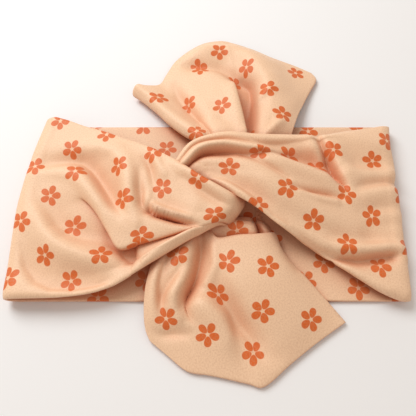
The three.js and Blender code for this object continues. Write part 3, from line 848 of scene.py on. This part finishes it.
# The rolled cloth inside the knot: rails from south to north.
CORE = [
    [(15, -14, 4), (18, -14.5, 6), (22, -14.5, 7), (26, -14, 6), (28, -13.5, 4)],
    [(15, -12.5, 5), (18, -13, 8.5), (22, -13, 9.5), (26, -12.5, 8.5), (28, -12, 5)],
    [(15, -9.5, 3.5), (18, -9.5, 6.5), (22, -9.5, 7.5), (26, -9.5, 6.5), (28, -9.5, 3.5)],
]


def tail(name, rails, folds, flowers, material):
    """A sheet through rails that run from a root to a free end, its upper side up."""
    net = [[moved(p, (0, 0, -TUBE / 2)) for p in rail] for rail in rails]
    rises_east = np.cross(np.subtract(net[0][-1], net[0][0]), np.subtract(net[-1][0], net[0][0]))[2] > 0
    grid = sheet_through(net if rises_east else net[::-1])
    for points, left, right in folds:
        stroke(grid, points, left, right)
    return cloth_tube(name, softened(grid, 2), material, flowers, repeat_below=0)


# ---------------------------------------------------------------- the centre-back seam


def seam_strip(material):
    """The ends of the two tubes, joined and folded over at the back."""
    ys = np.linspace(SOUTH, NORTH, 5)
    rails = [[(SEAM_X + across, y, height) for y in ys] for across, height in SEAM_PROFILE]
    return tail("seam", rails, [], [], material)


def seam_stitches(material):
    """One zigzag of thread along the top of the seam."""
    line = bpy.data.curves.new("seam_stitches", "CURVE")
    line.dimensions = "3D"
    line.bevel_depth = THREAD * MM
    line.bevel_resolution = 1
    line.use_fill_caps = True
    points = []
    for k, y in enumerate(np.arange(SOUTH + STITCH, NORTH - STITCH, STITCH / 2)):
        side = 1 if k % 2 else -1
        points.append((SEAM_X + side * STITCH_REACH, y, STITCH_LOW))
        points.append((SEAM_X, y + STITCH / 4, STITCH_HIGH))
    spline = line.splines.new("POLY")
    spline.points.add(len(points) - 1)
    for point, place in zip(spline.points, points):
        point.co = (*(value * MM for value in place), 1)
    line.materials.append(material)
    return linked("seam_stitches", line)


# ---------------------------------------------------------------- assembly, light and camera


def key_light():
    """A soft light from behind and to the left, aimed at the origin."""
    light = bpy.data.lights.new("key", "AREA")
    light.shape = "DISK"
    light.size = KEY_SIZE
    light.energy = KEY_POWER
    light.color = KEY_TINT
    made = linked("key", light)
    made.location = KEY_PLACE
    made.rotation_euler = (-Vector(KEY_PLACE)).to_track_quat("-Z", "Y").to_euler()


def studio():
    """The floor just under the headband, even light from all round, and the key light."""
    bpy.ops.mesh.primitive_plane_add(size=6, location=(0, 0, CAD_BOX[0].z - 0.0002))
    floor = bpy.context.object
    floor.name = "floor"
    floor.data.materials.append(floor_paint())

    world = bpy.data.worlds.new("studio")
    world.use_nodes = True
    background = world.node_tree.nodes["Background"]
    background.inputs["Color"].default_value = AMBIENT_TINT
    background.inputs["Strength"].default_value = AMBIENT
    bpy.context.scene.world = world
    key_light()
    bpy.context.scene.view_settings.view_transform = "Standard"


def camera():
    """Looks down at the knot from the front."""
    elevation = math.radians(CAMERA_ELEVATION)
    distance = CAMERA_DISTANCE * MM
    lens = bpy.data.cameras.new("camera")
    lens.sensor_width = SENSOR
    lens.lens = LENS
    lens.clip_start = 0.01
    made = linked("camera", lens)
    made.location = (0, -distance * math.cos(elevation), distance * math.sin(elevation))
    made.rotation_euler = (math.pi / 2 - elevation, 0, 0)
    bpy.context.scene.camera = made


def build():
    """Makes every piece, ties the throat, core, seam and stitches to the bodies they ride on, and hides the
    CAD parts.
    """
    knit = printed_knit()
    left = left_half(knit)
    right = right_half(knit)
    top = tail("top_tail", TOP_TAIL, TOP_FOLDS, TOP_FLOWERS, knit)
    bottom = tail("bottom_tail", BOTTOM_TAIL, BOTTOM_FOLDS, BOTTOM_FLOWERS, knit)
    throat = tail("throat", THROAT, [], THROAT_FLOWERS, knit)
    core = tail("core", CORE, [], [], knit)
    seam = seam_strip(knit)
    pieces = {
        left: ("back", "front", (0, 0, 0.0023), (0, 0, 0.006)),
        right: ("back", "front", (0, 0, 0.0023), (0, 0, 0.006)),
        top: ("front", "top_tail", (0, 0.046, 0.01), (0, 0.060, 0.01)),
        bottom: ("front", "bottom_tail", (0, -0.024, 0.01), (-0.003, -0.045, 0.01)),
    }
    for piece, (body_a, body_b, start, end) in pieces.items():
        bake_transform(piece)
    for piece, body in ((throat, "front"), (core, "front"), (seam, "back")):
        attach(piece, body)
    stitches = seam_stitches(seam_thread())
    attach(stitches, "back")
    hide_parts("back_left_outer_ply", "back_left_inner_ply", "left_side_fold", "left_tube_long_seam",
                "left_wrap_upper_pleat", "left_wrap_lower_pleat", "left_tube_turn")
    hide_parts("back_right_outer_ply", "back_right_inner_ply", "right_side_fold",
                "right_tube_long_seam", "right_wrap", "right_wrap_top_roll", "right_tube_turn")
    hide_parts("top_tail_root", "top_tail_upper_ply", "top_tail_under_ply", "top_tail_end_seam")
    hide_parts("bottom_tail_upper_ply", "bottom_tail_under_ply", "bottom_tail_end_seam")
    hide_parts("bottom_tail_root")
    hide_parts("knot_core")
    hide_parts("centre_back_seam")


camera()
build()
studio()
